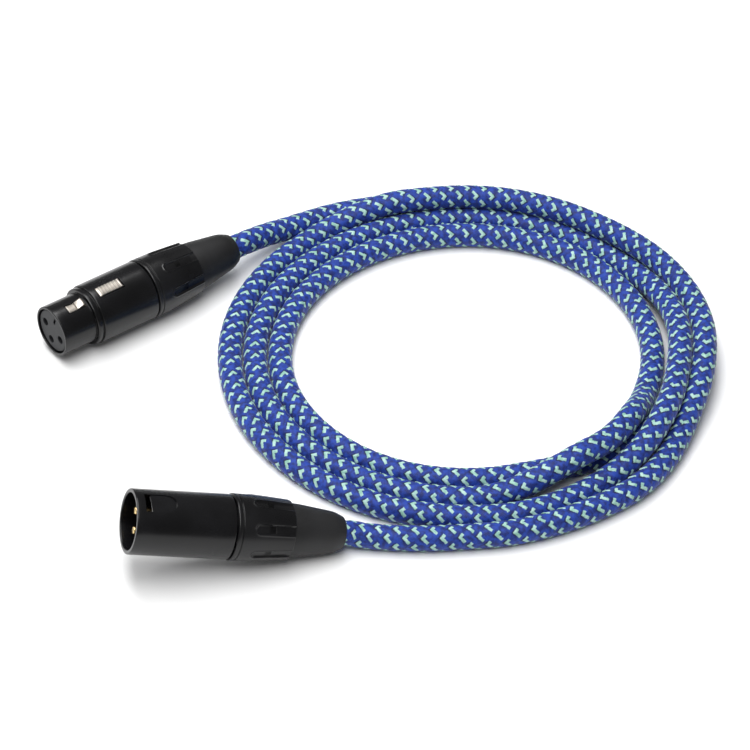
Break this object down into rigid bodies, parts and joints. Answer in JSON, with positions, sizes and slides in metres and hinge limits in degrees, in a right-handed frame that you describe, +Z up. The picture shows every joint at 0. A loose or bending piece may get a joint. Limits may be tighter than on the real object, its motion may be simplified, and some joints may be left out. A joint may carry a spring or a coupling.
{
  "type": "coiled microphone cable",
  "caption": "Braided balanced microphone cable wound in a flat oval coil, with a latching female connector and a male pin connector whose boots screw on.",
  "frame": {"origin": "on the table, under the middle of the box round the two connectors, which leaves out the cable", "axes": "+Z up from the table, +Y from the male connector towards the female connector, +X from the connectors towards the coil"},
  "size_m": [0.2127, 0.1884, 0.0298],
  "materials": {
    "black_metal": "satin",
    "black_plastic": "matte",
    "collar_plastic": "satin",
    "boot_rubber": "matte",
    "grey_plastic": "matte",
    "contact_gold": "polished",
    "latch_chrome": "polished",
    "bare_copper": "satin",
    "core_red": "satin",
    "core_white": "satin",
    "blue_braid": "braided"
  },
  "bodies": {
    "root": {"male_shell": "black_metal", "male_insert": "black_plastic", "male_pin_1": "contact_gold", "male_pin_2": "contact_gold", "male_pin_3": "contact_gold", "male_chuck": "grey_plastic", "male_wire_shield": "bare_copper", "male_wire_hot": "core_red", "male_wire_cold": "core_white", "female_shell": "black_metal", "female_insert": "black_plastic", "female_socket_1": "contact_gold", "female_socket_2": "contact_gold", "female_socket_3": "contact_gold", "female_latch_spring": "latch_chrome", "female_latch_pin": "latch_chrome", "female_chuck": "grey_plastic", "female_wire_shield": "bare_copper", "female_wire_hot": "core_red", "female_wire_cold": "core_white", "cable_coil": "blue_braid", "male_lead": "blue_braid", "female_lead": "blue_braid"},
    "female_latch": {"female_latch": "latch_chrome"},
    "male_boot": {"male_boot": "boot_rubber"},
    "male_collar": {"male_collar": "collar_plastic"},
    "female_boot": {"female_boot": "boot_rubber"},
    "female_collar": {"female_collar": "collar_plastic"}
  },
  "joints": [
    {"name": "female_latch_press", "type": "hinge", "parent": "root", "child": "female_latch", "pos_m": [-0.02327, 0.04256, 0.0159], "axis": [-0.6532, 0.728, 0.2079], "range_deg": [-3.6, 0], "stiffness_Nm_per_rad": 0.15, "springref_deg": 4.58},
    {"name": "male_boot_slide", "type": "slide", "parent": "root", "child": "male_boot", "axis": [0.9368, 0.2651, -0.2284], "range_m": [0, 0.002]},
    {"name": "male_collar_turn", "type": "hinge", "parent": "male_boot", "child": "male_collar", "pos_m": [0.02577, -0.05415, 0.01137], "axis": [0.9368, 0.2651, -0.2284], "range_deg": [0, 720]},
    {"name": "female_boot_slide", "type": "slide", "parent": "root", "child": "female_boot", "axis": [0.7443, 0.6678, 0], "range_m": [0, 0.002]},
    {"name": "female_collar_turn", "type": "hinge", "parent": "female_boot", "child": "female_collar", "pos_m": [-0.01608, 0.05071, 0.00993], "axis": [0.7443, 0.6678, 0], "range_deg": [0, 720]}
  ],
  "couplings": [
    {"joint": "male_collar_turn", "follows": "male_boot_slide", "rad_per_m": 6283},
    {"joint": "female_collar_turn", "follows": "female_boot_slide", "rad_per_m": 6283}
  ]
}
